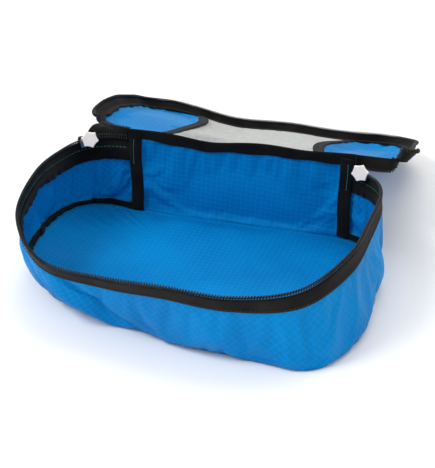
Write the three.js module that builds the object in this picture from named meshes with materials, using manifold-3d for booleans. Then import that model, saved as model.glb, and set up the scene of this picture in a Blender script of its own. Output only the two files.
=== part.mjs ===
// A small rectangular packing cube, lying open: a soft nylon tray with a zipped lid that is
// folded back over its rear edge. Millimetres, +Z up. The origin is on the underside of the
// base, below the middle of the opening; the rear edge, which the lid turns on, is along +Y.
import * as THREE from 'three';
import { mergeVertices } from 'three/addons/utils/BufferGeometryUtils.js';
import Module from 'manifold-3d';

const wasm = await Module();
wasm.setup();

// ---- Driving dimensions ----------------------------------------------------------------
const HALF_WIDTH = 90;          // middle of the cube to its rear edge
const HINGE_Z = 75;             // height of the rear edge, which is the lid's hinge
const LID_DROOP = 22;           // degrees that the open lid hangs below level
const FABRIC = 1.2;             // thickness of coated nylon with its seam allowance
const MESH_THICK = 0.8;         // thickness of the window's net
const TAPE_WIDTH = 12;          // zipper tape from its seam to the middle of its coil
const LID_TAPE_WIDTH = 9;       // the same on the lid, from the panel down
const TAPE_THICK = 1.0;
const COIL_RADIUS = 1.3;
const GAP = 0.35;               // clearance between pieces that are sewn edge to edge

const STRIP_INNER = 81;         // the two upright binding strips on the rear wall, in X
const STRIP_OUTER = 91;
const PANEL_END = 84;           // the rear panel and the gusset meet under the strips
const WALL_END = 86;
const LEFT_TAPE_START = 60;     // rear edge to the start of the lid's tape at the left end
const BINDING_WIDTH = 8;        // folded binding on the lid's edge
const SEAM_BINDING_WIDTH = 9;   // binding over the seams inside the tray
const STRIP_THICK = 1.0;

// Rear corners of the rim are true arcs, which the sliders run round.
const RIGHT_ARC = { x: 82, y: 54, radius: 36 };
const LEFT_ARC = { x: -97, y: 50, radius: 40 };
const RIGHT_RIM_Z = 62;
const LEFT_RIM_Z = 66;
const RIGHT_SLIDER_ANGLE = 64;  // degrees round its arc, from +X
const LEFT_SLIDER_ANGLE = 136;

const arcPoint = (arc, degrees, z) => {
  const turn = THREE.MathUtils.degToRad(degrees);
  return [arc.x + arc.radius * Math.cos(turn), arc.y + arc.radius * Math.sin(turn), z];
};

// The rim (middle of the lower coil) and the base seam, as matching points that run
// anticlockwise from the middle of the right end. The soft front bows out between its corners
// and the left end leans out.
const RIM = [
  [117, 2, 65],
  arcPoint(RIGHT_ARC, 8, RIGHT_RIM_Z),
  arcPoint(RIGHT_ARC, 36, RIGHT_RIM_Z),
  arcPoint(RIGHT_ARC, 64, RIGHT_RIM_Z),
  [82, HALF_WIDTH, RIGHT_RIM_Z],
  [0, HALF_WIDTH, 63],
  [-92, HALF_WIDTH, LEFT_RIM_Z],
  arcPoint(LEFT_ARC, 112, LEFT_RIM_Z),
  arcPoint(LEFT_ARC, 142, LEFT_RIM_Z),
  arcPoint(LEFT_ARC, 172, LEFT_RIM_Z),
  [-138, 4, 71],
  [-130, -50, 64],
  [-97, -89, 55],
  [-49, -98, 54],
  [-2, -106, 59],
  [43, -106, 58],
  [86, -91, 61],
  [111, -47, 66],
];
const BASE = [
  [124, 0, 3],
  [121, 46, 0],
  [113, 70, 0],
  [98, 85, 0],
  [82, HALF_WIDTH, 0],
  [0, HALF_WIDTH, 0],
  [-92, HALF_WIDTH, 2],
  [-110, 88, 4],
  [-127, 77, 7],
  [-137, 58, 9],
  [-141, 18, 13],
  [-134, -26, 12],
  [-101, -56, 4],
  [-53, -69, 0],
  [-4, -84, 0],
  [46, -89, 0],
  [96, -90, 0],
  [120, -52, 0],
];
const REAR_RIGHT = 4;           // station of the rear edge's right end in both lists
const REAR_LEFT = 6;
const STATIONS = RIM.length;

// The lid's outline as it lies when closed, seen from above.
const LID = {
  left: -127, right: 129, front: -94, bow: 7,
  rearRightRadius: 24, rearLeftRadius: 42, frontRadius: 42,
};
// Curved bindings at the two ends of the window: X at the rear edge, middle and front edge.
const WINDOW_ENDS = {
  left: { rear: -63, middle: -56, front: -74 },
  right: { rear: 64, middle: 54, front: 66 },
};
const WINDOW_BINDING_WIDTH = 8;

// Sliders and pulls
const PLATE_LENGTH = 11;
const PLATE_HEIGHT = 7.6;
const PLATE_THICK = 1.0;
const PLATE_OFFSET = 2.8;       // middle of a slider plate from the middle of the coil
const BRIDGE_REACH = 2.6;       // bridge bar from the inner plate
const BRIDGE_RADIUS = 0.6;
const PULL_ACROSS = 14;
const PULL_THICK = 2.0;

// ---- Materials -------------------------------------------------------------------------
const finish = (colour, roughness, metalness = 0) =>
  new THREE.MeshStandardMaterial({ color: colour, roughness, metalness });
const blueNylon = () => finish(0x0a7cc8, 0.55);
const blackBinding = () => finish(0x101012, 0.8);
const charcoalTape = () => finish(0x2d2b2a, 0.85);
const blackCoil = () => finish(0x0c0c0d, 0.45);
const greyNet = () => finish(0xb9bab8, 0.7);
const tealThread = () => finish(0x14706f, 0.6);
const paleMetal = () => finish(0xcfc6b8, 0.35, 0.8);
const palePlastic = () => finish(0xeee2dc, 0.4);

// ---- Geometry helpers ------------------------------------------------------------------
const vector = (p) => new THREE.Vector3(...p);
const rimCurve = new THREE.CatmullRomCurve3(RIM.map(vector), true, 'centripetal');
const baseCurve = new THREE.CatmullRomCurve3(BASE.map(vector), true, 'centripetal');
const wrap = (u) => ((u % 1) + 1) % 1;
const station = (index) => index / STATIONS;

// Point on the tray's wall: u runs round it, height runs up it from 0 at the base seam to 1.
function wallPoint(u, height) {
  const foot = baseCurve.getPoint(wrap(u));
  foot.z = Math.max(foot.z, 0);
  const top = rimCurve.getPoint(wrap(u));
  return foot.lerp(top, height);
}
const wallLength = (u) => wallPoint(u, 0).distanceTo(wallPoint(u, 1));

// u of the place on the straight rear edge where the rim has this X.
function rearStation(x) {
  let [low, high] = [station(REAR_RIGHT) - 0.06, station(REAR_LEFT) + 0.06];
  for (let step = 0; step < 40; step += 1) {
    const middle = (low + high) / 2;
    if (rimCurve.getPoint(middle).x > x) low = middle;
    else high = middle;
  }
  return (low + high) / 2;
}

// A closed sheet of even thickness about a grid of points: rows[i][j].
function sheet(rows, thickness, closed = false) {
  const count = rows.length;
  const across = rows[0].length;
  const at = (i, j) => rows[closed ? (i + count) % count : Math.min(Math.max(i, 0), count - 1)][
    Math.min(Math.max(j, 0), across - 1)];
  const positions = [];
  for (const side of [0.5, -0.5]) {
    for (let i = 0; i < count; i += 1) {
      for (let j = 0; j < across; j += 1) {
        const along = at(i + 1, j).clone().sub(at(i - 1, j));
        const over = at(i, j + 1).clone().sub(at(i, j - 1));
        const normal = along.cross(over).normalize();
        positions.push(...at(i, j).clone().addScaledVector(normal, side * thickness));
      }
    }
  }
  const indices = [];
  const vertex = (side, i, j) => (side * count + (i % count)) * across + j;
  const quad = (a, b, c, d) => indices.push(a, b, c, a, c, d);
  const spans = closed ? count : count - 1;
  for (let i = 0; i < spans; i += 1) {
    for (let j = 0; j < across - 1; j += 1) {
      quad(vertex(0, i, j), vertex(0, i + 1, j), vertex(0, i + 1, j + 1), vertex(0, i, j + 1));
      quad(vertex(1, i, j), vertex(1, i, j + 1), vertex(1, i + 1, j + 1), vertex(1, i + 1, j));
    }
    quad(vertex(1, i, 0), vertex(1, i + 1, 0), vertex(0, i + 1, 0), vertex(0, i, 0));
    const last = across - 1;
    quad(vertex(0, i, last), vertex(0, i + 1, last), vertex(1, i + 1, last), vertex(1, i, last));
  }
  if (!closed) {
    for (let j = 0; j < across - 1; j += 1) {
      const end = count - 1;
      quad(vertex(0, 0, j), vertex(0, 0, j + 1), vertex(1, 0, j + 1), vertex(1, 0, j));
      quad(vertex(0, end, j + 1), vertex(0, end, j), vertex(1, end, j), vertex(1, end, j + 1));
    }
  }
  const geometry = new THREE.BufferGeometry();
  geometry.setAttribute('position', new THREE.Float32BufferAttribute(positions, 3));
  geometry.setIndex(indices);
  geometry.computeVertexNormals();
  return geometry;
}

// A rod of round or oval section along a list of points.
function rod(points, halfWidth, halfHeight = halfWidth, closed = false, sides = 8) {
  const section = new THREE.Shape();
  section.absellipse(0, 0, halfHeight, halfWidth, 0, Math.PI * 2);
  const path = new THREE.CatmullRomCurve3(points, closed, 'centripetal');
  return new THREE.ExtrudeGeometry(section, {
    steps: points.length, extrudePath: path, curveSegments: sides,
  });
}

function toSolid(geometry) {
  const bare = geometry.clone();
  bare.deleteAttribute('normal');
  bare.deleteAttribute('uv');
  const merged = mergeVertices(bare, 1e-4);
  const index = merged.index ? merged.index.array
    : Uint32Array.from({ length: merged.attributes.position.count }, (_, i) => i);
  return new wasm.Manifold(new wasm.Mesh({
    numProp: 3,
    vertProperties: Float32Array.from(merged.attributes.position.array),
    triVerts: Uint32Array.from(index),
  }));
}

function toGeometry(solid) {
  const result = solid.getMesh();
  const geometry = new THREE.BufferGeometry();
  geometry.setAttribute('position', new THREE.Float32BufferAttribute(result.vertProperties, 3));
  geometry.setIndex(Array.from(result.triVerts));
  geometry.computeVertexNormals();
  return geometry;
}

const joined = (geometries) =>
  toGeometry(geometries.map(toSolid).reduce((whole, piece) => whole.add(piece)));

const block = (lengthX, lengthY, lengthZ, x, y, z) =>
  new THREE.BoxGeometry(lengthX, lengthY, lengthZ).translate(x, y, z);

function named(name, geometry, material) {
  const mesh = new THREE.Mesh(geometry, material);
  mesh.name = name;
  return mesh;
}

// ---- The tray --------------------------------------------------------------------------
// Stations from the right strip round the right end, the front and the left end.
function aroundTray(fromX, toX, count) {
  const start = rearStation(fromX);
  const end = rearStation(toX) - 1;
  return Array.from({ length: count + 1 }, (_, i) => start + (end - start) * (i / count));
}

function wallBand(us, lowMm, highMm, levels, offset = 0, fromTop = true) {
  return us.map((u) => {
    const length = wallLength(u);
    const outward = wallOutward(u);
    return Array.from({ length: levels + 1 }, (_, j) => {
      const mm = lowMm + (highMm - lowMm) * (j / levels);
      const height = fromTop ? 1 - mm / length : mm / length;
      return wallPoint(u, height).addScaledVector(outward, offset);
    });
  });
}

function wallOutward(u) {
  const along = wallPoint(u + 0.002, 0.8).sub(wallPoint(u - 0.002, 0.8));
  const up = wallPoint(u, 1).sub(wallPoint(u, 0));
  return along.cross(up).normalize();
}

function wallGusset() {
  const us = aroundTray(WALL_END, -WALL_END, 56);
  const levels = 4;
  const rows = us.map((u) => {
    const highest = 1 - (TAPE_WIDTH + GAP) / wallLength(u);
    const lowest = 2 * GAP / wallLength(u);
    return Array.from({ length: levels + 1 }, (_, j) =>
      wallPoint(u, lowest + (highest - lowest) * (j / levels)));
  });
  return sheet(rows, FABRIC);
}

function lowerTape() {
  const us = aroundTray(WALL_END, -WALL_END, 64);
  return sheet(wallBand(us, TAPE_WIDTH, COIL_RADIUS + GAP, 1), TAPE_THICK);
}

function lowerCoil() {
  const us = aroundTray(STRIP_OUTER + GAP, -(STRIP_OUTER + GAP), 70);
  return rod(us.map((u) => wallPoint(u, 1)), COIL_RADIUS, COIL_RADIUS, false, 6);
}

function rimSeamBinding() {
  const us = aroundTray(STRIP_OUTER + 1, -(STRIP_OUTER + 1), 56);
  const middle = TAPE_WIDTH;
  const band = wallBand(us, middle + SEAM_BINDING_WIDTH / 2, middle - SEAM_BINDING_WIDTH / 2, 1,
    -(FABRIC + GAP));
  return sheet(band, STRIP_THICK);
}

function baseSeamBinding() {
  const us = aroundTray(STRIP_OUTER + 1, -(STRIP_OUTER + 1), 48);
  const band = wallBand(us, 4, 4 + SEAM_BINDING_WIDTH, 1, -(FABRIC + 2 * GAP), false);
  return sheet(band, STRIP_THICK);
}

// The bottom is flat where it lies and turns up to the raised seam at the left end.
function bottomPanel() {
  const around = 48;
  const rings = [0.12, 0.5, 0.8, 0.9, 1];
  const centre = new THREE.Vector3(-5, 0, 0);
  const rise = (share) => Math.max(0, (share - 0.8) / 0.2) ** 2;
  const rows = Array.from({ length: around }, (_, i) => {
    const u = i / around;
    const edge = wallPoint(u, 0).addScaledVector(wallOutward(u).setZ(0).normalize(), -FABRIC);
    return rings.map((share) => new THREE.Vector3(
      centre.x + (edge.x - centre.x) * share,
      centre.y + (edge.y - centre.y) * share,
      Math.max(edge.z, 0) * rise(share),
    ));
  });
  return discShell(rows, centre);
}

// A disc of fabric from rings of points about a centre, with its underside on the points.
function discShell(rows, centre) {
  const around = rows.length;
  const rings = rows[0].length;
  const positions = [];
  for (const lift of [0, FABRIC]) {
    rows.forEach((row) => row.forEach((p) => positions.push(p.x, p.y, p.z + lift)));
    positions.push(centre.x, centre.y, centre.z + lift);
  }
  const layer = around * rings + 1;
  const vertex = (top, i, j) => top * layer + (i % around) * rings + j;
  const indices = [];
  for (let i = 0; i < around; i += 1) {
    for (let j = 0; j < rings - 1; j += 1) {
      const [a, b] = [vertex(0, i, j), vertex(0, i + 1, j)];
      const [c, d] = [vertex(0, i + 1, j + 1), vertex(0, i, j + 1)];
      indices.push(a, b, c, a, c, d);
      indices.push(a + layer, c + layer, b + layer, a + layer, d + layer, c + layer);
    }
    indices.push(vertex(0, i, 0), layer - 1, vertex(0, i + 1, 0));
    indices.push(vertex(1, i, 0), vertex(1, i + 1, 0), 2 * layer - 1);
    const edge = rings - 1;
    const [low, lowNext] = [vertex(0, i, edge), vertex(0, i + 1, edge)];
    const [high, highNext] = [vertex(1, i, edge), vertex(1, i + 1, edge)];
    indices.push(low, lowNext, highNext, low, highNext, high);
  }
  const geometry = new THREE.BufferGeometry();
  geometry.setAttribute('position', new THREE.Float32BufferAttribute(positions, 3));
  geometry.setIndex(indices);
  geometry.computeVertexNormals();
  return geometry;
}

function backPanel() {
  const low = 2;
  const high = HINGE_Z - 2.2;
  return block(2 * PANEL_END, FABRIC, high - low, 0, HALF_WIDTH, (high + low) / 2);
}

// An upright strip follows the curve of the wall that it is sewn to.
function endStrip(side) {
  const [low, high] = [6, HINGE_Z - 2.2];
  const inward = FABRIC / 2 + STRIP_THICK / 2 + 2 * GAP;
  const rows = Array.from({ length: 5 }, (_, i) => {
    const x = side * (STRIP_INNER + (STRIP_OUTER - STRIP_INNER) * (i / 4));
    const u = rearStation(x);
    const y = Math.min(rimCurve.getPoint(u).y, baseCurve.getPoint(u).y) - inward;
    return [new THREE.Vector3(x, y, low), new THREE.Vector3(x, y, high)];
  });
  return sheet(side > 0 ? rows : rows.reverse(), STRIP_THICK);
}

// Close stitching up the middle of a strip, which stands just proud of it.
function bartack(side) {
  const x = side * (STRIP_INNER + STRIP_OUTER) / 2;
  const y = HALF_WIDTH - FABRIC / 2 - STRIP_THICK - 4 * GAP - 0.6;
  return block(0.9, 0.6, 18, x, y, HINGE_Z - 16);
}

function hingeBinding() {
  const reach = STRIP_OUTER;
  const points = [-1, -0.5, 0, 0.5, 1].map((t) => new THREE.Vector3(t * reach, HALF_WIDTH, HINGE_Z));
  return rod(points, 1.7, 1.7, false, 8);
}

// The stretches of upper tape that stay with the tray, between the strips and the corners.
function rearUpperTape(points, low, high) {
  const rows = points.map(([x, y]) => [new THREE.Vector3(x, y, low), new THREE.Vector3(x, y, high)]);
  return sheet(rows, TAPE_THICK);
}

const rightStretch = () =>
  [0, 4, 8, 12].map((x) => [STRIP_OUTER + 1 + x, HALF_WIDTH + 3]);
const leftStretch = () =>
  [[-(STRIP_OUTER + 1), HALF_WIDTH], ...[92, 99, 106, 113].map((a) => arcPoint(LEFT_ARC, a, 0).slice(0, 2))];

const upperCoil = (points, z) =>
  rod(points.map(([x, y]) => new THREE.Vector3(x, y, z)), COIL_RADIUS - 0.2, COIL_RADIUS - 0.2, false, 6);

// ---- The lid, built closed about the hinge line and then turned back ----------------------
// In the lid's own frame the hinge is at the origin and the closed lid reaches along -Y.
const lidY = (y) => y - HALF_WIDTH;

function lidPath(inset = 0) {
  const { left, right, front, bow, rearRightRadius, rearLeftRadius, frontRadius } = LID;
  const path = new THREE.Path();
  const [l, r, f] = [left + inset, right - inset, lidY(front) + inset];
  const rightArc = rearRightRadius - inset;
  const leftArc = rearLeftRadius - inset;
  const frontArc = frontRadius - inset;
  path.absarc(r - rightArc, -inset - rightArc, rightArc, Math.PI / 2, 0, true);
  path.lineTo(r, f + frontArc);
  path.absarc(r - frontArc, f + frontArc, frontArc, 0, -Math.PI / 2, true);
  const middle = (l + r) / 2;
  path.quadraticCurveTo(middle, f - 2 * bow, l + frontArc, f);
  path.absarc(l + frontArc, f + frontArc, frontArc, -Math.PI / 2, -Math.PI, true);
  path.lineTo(l, -inset - leftArc);
  path.absarc(l + leftArc, -inset - leftArc, leftArc, Math.PI, Math.PI / 2, true);
  return path;
}

// Points of the outline, without the doubled ones where a line meets an arc.
function lidOutline(inset) {
  const points = lidPath(inset).getPoints(6);
  return points.filter((p, i) => i === 0 || p.distanceTo(points[i - 1]) > 0.01);
}

const flat = (shape, thickness) =>
  new THREE.ExtrudeGeometry(shape, { depth: thickness, bevelEnabled: false, curveSegments: 8 })
    .translate(0, 0, -thickness / 2);

// Curved end of the window, offset to one side, from the rear edge to the front edge.
function windowEnd({ rear, middle, front }, offset) {
  const depth = lidY(LID.front) - LID.bow;
  return Array.from({ length: 13 }, (_, i) => {
    const t = i / 12;
    const bowed = rear + (front - rear) * t + (middle - (rear + front) / 2) * 4 * t * (1 - t);
    return new THREE.Vector2(bowed + offset, depth * t * 1.2 + 10);
  });
}

function areaBetween(leftLine, rightLine) {
  return new THREE.Shape([...leftLine, ...[...rightLine].reverse()]);
}

// The part of the lid's inner area that lies within the given shape.
function lidArea(shape, thickness) {
  const inner = new THREE.Shape(lidOutline(BINDING_WIDTH + GAP));
  const whole = toSolid(flat(inner, thickness));
  return toGeometry(whole.intersect(toSolid(flat(shape, thickness * 3))));
}

const farLine = (x) => [new THREE.Vector2(x, 40), new THREE.Vector2(x, -260)];
const half = WINDOW_BINDING_WIDTH / 2;
const lidLeftPanel = () =>
  lidArea(areaBetween(farLine(-200), windowEnd(WINDOW_ENDS.left, -half - GAP)), FABRIC);
const lidRightPanel = () =>
  lidArea(areaBetween(windowEnd(WINDOW_ENDS.right, half + GAP), farLine(200)), FABRIC);
const meshWindow = () => lidArea(areaBetween(windowEnd(WINDOW_ENDS.left, half + GAP),
  windowEnd(WINDOW_ENDS.right, -half - GAP)), MESH_THICK);
const windowBinding = (end) =>
  lidArea(areaBetween(windowEnd(end, -half), windowEnd(end, half)), FABRIC * 1.4);

function lidEdgeBinding() {
  const thickness = FABRIC * 1.4;
  const outer = toSolid(flat(new THREE.Shape(lidOutline(0)), thickness));
  const inner = toSolid(flat(new THREE.Shape(lidOutline(BINDING_WIDTH)), thickness * 3));
  const rear = toSolid(block(2 * STRIP_OUTER + 2 * GAP, 5, 10, 0, 0, 0));
  return toGeometry(outer.subtract(inner).subtract(rear));
}

// Points of the lid's outline from the rear right corner round to the left end, for the tape
// and the coil below it. The last stretch, up to the rear left corner, stays zipped to the tray.
function lidSkirtLine() {
  const points = lidPath(TAPE_THICK).getSpacedPoints(90).slice(3);
  const open = points.findIndex((p) => p.x < 0 && p.y > -LEFT_TAPE_START);
  return points.slice(0, open);
}

function upperTape() {
  const high = -FABRIC - GAP;
  const low = -LID_TAPE_WIDTH + COIL_RADIUS + GAP;
  const rows = lidSkirtLine().map((p) =>
    [new THREE.Vector3(p.x, p.y, low), new THREE.Vector3(p.x, p.y, high)]);
  return sheet(rows, TAPE_THICK);
}

const upperLidCoil = () => rod(lidSkirtLine().map((p) => new THREE.Vector3(p.x, p.y, -LID_TAPE_WIDTH)),
  COIL_RADIUS - 0.2, COIL_RADIUS - 0.2, false, 6);

// ---- Sliders and pulls ---------------------------------------------------------------------
// In a slider's own frame the coil runs along X through the origin and -Y faces into the tray.
function sliderBody() {
  const plate = (y) => {
    const outline = new THREE.Shape();
    const [l, h] = [PLATE_LENGTH / 2, PLATE_HEIGHT / 2];
    outline.moveTo(-l + 1.5, -h);
    outline.lineTo(l - 1, -h + 0.4);
    outline.quadraticCurveTo(l + 0.6, 0, l - 1, h - 0.4);
    outline.lineTo(-l + 1.5, h);
    outline.quadraticCurveTo(-l - 0.4, 0, -l + 1.5, -h);
    return new THREE.ExtrudeGeometry(outline, { depth: PLATE_THICK, bevelEnabled: false, curveSegments: 6 })
      .rotateX(Math.PI / 2).translate(0, y + PLATE_THICK / 2, 0);
  };
  const wedge = block(2.4, 2 * PLATE_OFFSET, 1.3, PLATE_LENGTH / 2 - 1.9, 0, PLATE_HEIGHT / 2 - 0.7);
  const bar = new THREE.CylinderGeometry(BRIDGE_RADIUS, BRIDGE_RADIUS, 6, 10)
    .rotateZ(Math.PI / 2).translate(0, -PLATE_OFFSET - BRIDGE_REACH, 1.6);
  const post = (x) => block(1.1, BRIDGE_REACH + 0.4, 1.4, x, -PLATE_OFFSET - BRIDGE_REACH / 2, 1.6);
  return joined([plate(-PLATE_OFFSET), plate(PLATE_OFFSET), wedge, bar, post(-2.8), post(2.8)]);
}

// A flat six-sided tab with hollowed edges, on an eye that hangs on the bridge.
function pullTab() {
  const outline = new THREE.Shape();
  const radius = PULL_ACROSS / 2;
  const corner = (i) => {
    const turn = (i * Math.PI) / 3;
    return [radius * Math.cos(turn), radius * Math.sin(turn) - radius * 0.87];
  };
  outline.moveTo(...corner(0));
  for (let i = 1; i <= 6; i += 1) {
    const [x0, y0] = corner(i - 1);
    const [x1, y1] = corner(i);
    const centreY = -radius * 0.87;
    const [mx, my] = [(x0 + x1) / 2, (y0 + y1) / 2];
    outline.quadraticCurveTo(mx * 0.86, centreY + (my - centreY) * 0.86, x1, y1);
  }
  const tab = new THREE.ExtrudeGeometry(outline, { depth: PULL_THICK, bevelEnabled: false, curveSegments: 4 })
    .rotateX(Math.PI / 2).translate(0, -BRIDGE_RADIUS - 0.4, 1.2);
  const eyeOuter = BRIDGE_RADIUS + 1.3;
  const eye = new THREE.CylinderGeometry(eyeOuter, eyeOuter, 3.2, 14).rotateZ(Math.PI / 2);
  const bore = new THREE.CylinderGeometry(BRIDGE_RADIUS + 0.35, BRIDGE_RADIUS + 0.35, 20, 14)
    .rotateZ(Math.PI / 2);
  return toGeometry(toSolid(tab).add(toSolid(eye)).subtract(toSolid(bore)));
}

function sliderWithPull(side, arc, degrees, z) {
  const place = new THREE.Group();
  const [x, y] = arcPoint(arc, degrees, 0);
  place.position.set(x, y, z);
  place.rotation.z = THREE.MathUtils.degToRad(degrees - 90);
  place.add(named(`slider_${side}`, sliderBody(), paleMetal()));
  const pull = named(`pull_tab_${side}`, pullTab(), palePlastic());
  pull.position.set(0, -PLATE_OFFSET - BRIDGE_REACH, 1.6);
  place.add(pull);
  return place;
}

// ---- Assembly --------------------------------------------------------------------------
const tray = new THREE.Group();
tray.add(named('bottom_panel', bottomPanel(), blueNylon()));
tray.add(named('wall_gusset', wallGusset(), blueNylon()));
tray.add(named('back_panel', backPanel(), blueNylon()));
tray.add(named('base_seam_binding', baseSeamBinding(), blackBinding()));
tray.add(named('rim_seam_binding', rimSeamBinding(), blackBinding()));
tray.add(named('lower_zipper_tape', lowerTape(), charcoalTape()));
tray.add(named('lower_zipper_coil', lowerCoil(), blackCoil()));
tray.add(named('end_strip_left', endStrip(-1), blackBinding()));
tray.add(named('end_strip_right', endStrip(1), blackBinding()));
tray.add(named('bartack_left', bartack(-1), tealThread()));
tray.add(named('bartack_right', bartack(1), tealThread()));
tray.add(named('hinge_binding', hingeBinding(), blackBinding()));

const upperHigh = HINGE_Z - 2;
const rightCoilZ = RIGHT_RIM_Z - 0.3;
const leftCoilZ = LEFT_RIM_Z + 2 * COIL_RADIUS + 0.1;
const meet = COIL_RADIUS + GAP;
tray.add(named('upper_tape_rear_right', rearUpperTape(rightStretch(), rightCoilZ + meet, upperHigh - 2),
  charcoalTape()));
tray.add(named('upper_coil_rear_right', upperCoil(rightStretch(), rightCoilZ), blackCoil()));
tray.add(named('upper_tape_rear_left', rearUpperTape(leftStretch(), leftCoilZ + meet, upperHigh),
  charcoalTape()));
tray.add(named('upper_coil_rear_left', upperCoil(leftStretch(), leftCoilZ), blackCoil()));

const lid = new THREE.Group();
lid.position.set(0, HALF_WIDTH, HINGE_Z);
lid.rotation.x = -THREE.MathUtils.degToRad(180 + LID_DROOP);
lid.add(named('mesh_window', meshWindow(), greyNet()));
lid.add(named('lid_panel_left', lidLeftPanel(), blueNylon()));
lid.add(named('lid_panel_right', lidRightPanel(), blueNylon()));
lid.add(named('window_binding_left', windowBinding(WINDOW_ENDS.left), blackBinding()));
lid.add(named('window_binding_right', windowBinding(WINDOW_ENDS.right), blackBinding()));
lid.add(named('lid_edge_binding', lidEdgeBinding(), blackBinding()));
lid.add(named('upper_zipper_tape', upperTape(), charcoalTape()));
lid.add(named('upper_zipper_coil', upperLidCoil(), blackCoil()));

const group = new THREE.Group();
group.add(tray);
group.add(lid);
group.add(sliderWithPull('right', RIGHT_ARC, RIGHT_SLIDER_ANGLE, RIGHT_RIM_Z));
group.add(sliderWithPull('left', LEFT_ARC, LEFT_SLIDER_ANGLE, LEFT_RIM_Z));

export default group;
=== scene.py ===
"""Looks of the open packing cube: ripstop tray, folded-back lid with its net window, zipper,
bindings, sliders and pulls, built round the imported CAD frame."""

import math

import bmesh
import bpy
import numpy as np
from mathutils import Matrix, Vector


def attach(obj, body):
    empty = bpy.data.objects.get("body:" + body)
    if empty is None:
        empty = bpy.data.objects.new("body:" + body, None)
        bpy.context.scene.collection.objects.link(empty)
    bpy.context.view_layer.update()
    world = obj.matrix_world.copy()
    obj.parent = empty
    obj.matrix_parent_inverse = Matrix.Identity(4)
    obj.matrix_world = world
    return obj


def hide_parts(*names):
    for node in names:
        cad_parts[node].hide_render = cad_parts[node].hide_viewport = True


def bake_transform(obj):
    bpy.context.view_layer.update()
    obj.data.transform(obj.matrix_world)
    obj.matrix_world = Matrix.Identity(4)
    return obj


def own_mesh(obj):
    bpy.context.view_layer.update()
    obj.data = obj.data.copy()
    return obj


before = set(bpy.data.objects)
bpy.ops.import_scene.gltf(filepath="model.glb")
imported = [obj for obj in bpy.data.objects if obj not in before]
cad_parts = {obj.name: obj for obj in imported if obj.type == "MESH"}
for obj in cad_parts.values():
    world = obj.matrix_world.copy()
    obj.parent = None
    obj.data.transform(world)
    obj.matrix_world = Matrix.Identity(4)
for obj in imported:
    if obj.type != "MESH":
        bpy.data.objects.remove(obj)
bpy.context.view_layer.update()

# ---- Driving dimensions, in millimetres unless they say otherwise ------------------------
MM = 0.001
HINGE_Y, HINGE_Z = 90.0, 75.0      # the rear edge that the lid turns on
LID_DROOP = 22.0                   # degrees below level
STRIP_INNER, STRIP_OUTER = 81.0, 91.0  # the two edges of each upright strip
PANEL_END = 84.0                   # half the back panel's width
WALL_END = 86.0                    # where the wall's two ends are sewn to the back panel
TAPE_END = 88.0                    # where the tray's zipper tape ends, under the strips
SEAM_END = 92.0                    # where the rim's stitching ends, beside the strips
TAPE_WIDTH = 12.0
LID_TAPE_WIDTH = 7.5
COIL_RADIUS = 1.7
COIL_PITCH = 2.0
WIRE_RADIUS = 0.6
BINDING_WIDTH = 8.5
SKIN = 0.45                        # thickness of the ripstop with its coating
TAPE_THICK = 0.8
BINDING_THICK = 1.0
SEAM_OVERLAP = 1.5                 # how far the wall runs up under the tape
WALL_BELLY = 2.2                   # how far the wall stands out halfway up
BACK_LEAN = 2.6                    # how far the back panel leans in halfway up
WALL_SLACK = 0.035                 # how much too large the cloth is cut before it settles
PANEL_SLACK = 0.03
WALL_REACH, PANEL_REACH = 5.0, 4.0     # the furthest that settling may move a point
SETTLE_FRAMES = 26
SETTLE_GRAVITY = 0.3               # share of full gravity, so that the sheets sag only a little
CLOTH_MASS = 0.12
CLOTH_STRETCH, CLOTH_SHEAR, CLOTH_BEND = 25, 12, 0.08
RIPSTOP_CELL = 4.2                 # spacing of the heavier threads
STITCH_LENGTH, STITCH_GAP = 2.3, 0.9
NET_PITCH = 3.6
NET_THREAD = 0.8

RIGHT_ARC = (82.0, 54.0, 36.0)     # rear corners of the rim: centre x, centre y, radius
LEFT_ARC = (-97.0, 50.0, 40.0)
RIGHT_RIM_Z, LEFT_RIM_Z = 62.0, 66.0
RIGHT_SLIDER_ANGLE, LEFT_SLIDER_ANGLE = 64.0, 136.0
BRIDGE_INSET, BRIDGE_LIFT = 5.4, 1.6   # from the rim to the slider's bridge: inwards, and up
PULL_ACROSS, PULL_THICK, PULL_HOLLOW = 14.6, 2.0, 0.82
RIGHT_PULL, LEFT_PULL = (-8, -14, 1.6), (-12, 10, 2.8)     # lean and roll in degrees, lift in mm
TAPE_ROUGHNESS, TAPE_SHEEN = 0.85, 0.06
LOOP_STEPS = 12                    # points in one turn of the coil's wire
COIL_SQUEEZE = 0.85                # the coil's depth as a share of its height
TAPE_LEVELS = 8                    # rows of points across a zipper tape
FLOOR_GAP = 0.4                    # the cloth's middle plane above the surface it stands on
SEAM_TURN_UP = 1.2                 # the bottom's edge, turned up inside the wall
WALL_STATIONS, WALL_LEVELS = 300, 30   # points round the wall, and rows up it
LID_ROWS, LID_COLUMNS = 90, 32
PANEL_INSET = 3.0                  # from the lid's edge to the panels' cut edge, in the binding
BINDING_INSET = 1.6                 # from the wall to the binding inside it

SIDE_NAMES = {1: "right", -1: "left"}

SKY_LIGHT, SKY_SEEN = 0.72, 0.95   # the surroundings as they light the cube, and as they look
LAMPS = (                          # name, place and size in metres, power in watts
    ("key", (-1.0, -0.7, 1.3), 0.7, 17),
    ("fill", (1.2, -0.6, 0.9), 1.2, 1.5),
    ("top", (0.1, 0.7, 1.6), 1.2, 9),
)

CAMERA_TARGET = (0.0005, 0.021, 0.030)
CAMERA_AZIMUTH, CAMERA_ELEVATION, CAMERA_DISTANCE = 15.0, 30.0, 0.911
CAMERA_LENS = 92.3


def arc_point(arc, degrees, z):
    """A point on one of the tray's round rear corners."""
    turn = math.radians(degrees)
    return (arc[0] + arc[2] * math.cos(turn), arc[1] + arc[2] * math.sin(turn), z)


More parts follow.
